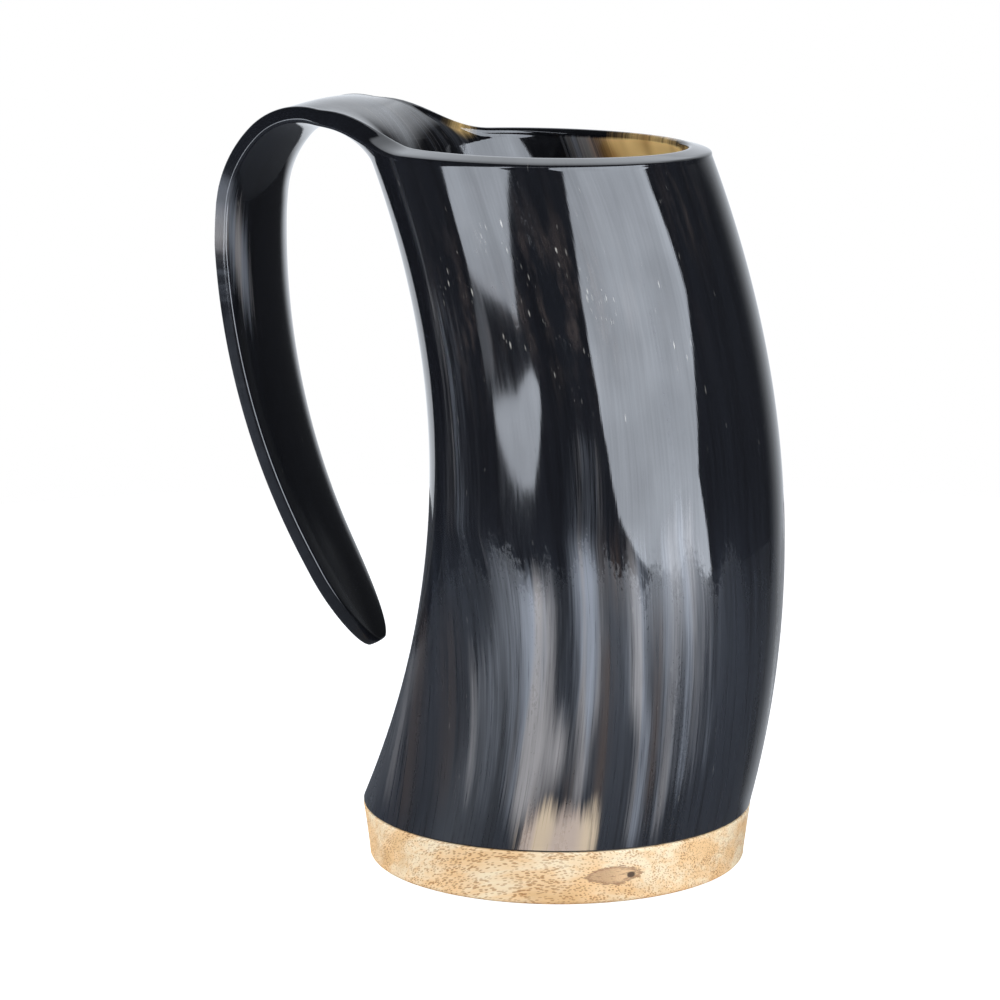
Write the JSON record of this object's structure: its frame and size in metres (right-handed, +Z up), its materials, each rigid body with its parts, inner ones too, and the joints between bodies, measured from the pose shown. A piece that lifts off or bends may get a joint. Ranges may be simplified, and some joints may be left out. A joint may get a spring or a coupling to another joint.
{
  "type": "horn drinking cup",
  "caption": "Tankard cut from a bowed, polished dark horn, with a strip of its rim bent over as the handle, glued on a turned wooden base.",
  "frame": {"origin": "centre of the base's underside, on the table", "axes": "+Z up to the rim, -X towards the handle, XZ the plane that the horn bows in"},
  "size_m": [0.1176, 0.082, 0.1588],
  "materials": {
    "horn": "polished black horn with grey and cream streaks",
    "base_wood": "pale turned wood with brown pores, waxed",
    "glue": "dark dried glue",
    "resin": "clear food-safe resin over wood"
  },
  "bodies": {
    "root": {"horn_body": "horn", "wood_base": "base_wood", "glue_seam": "glue", "seal_layer": "resin"}
  },
  "joints": []
}
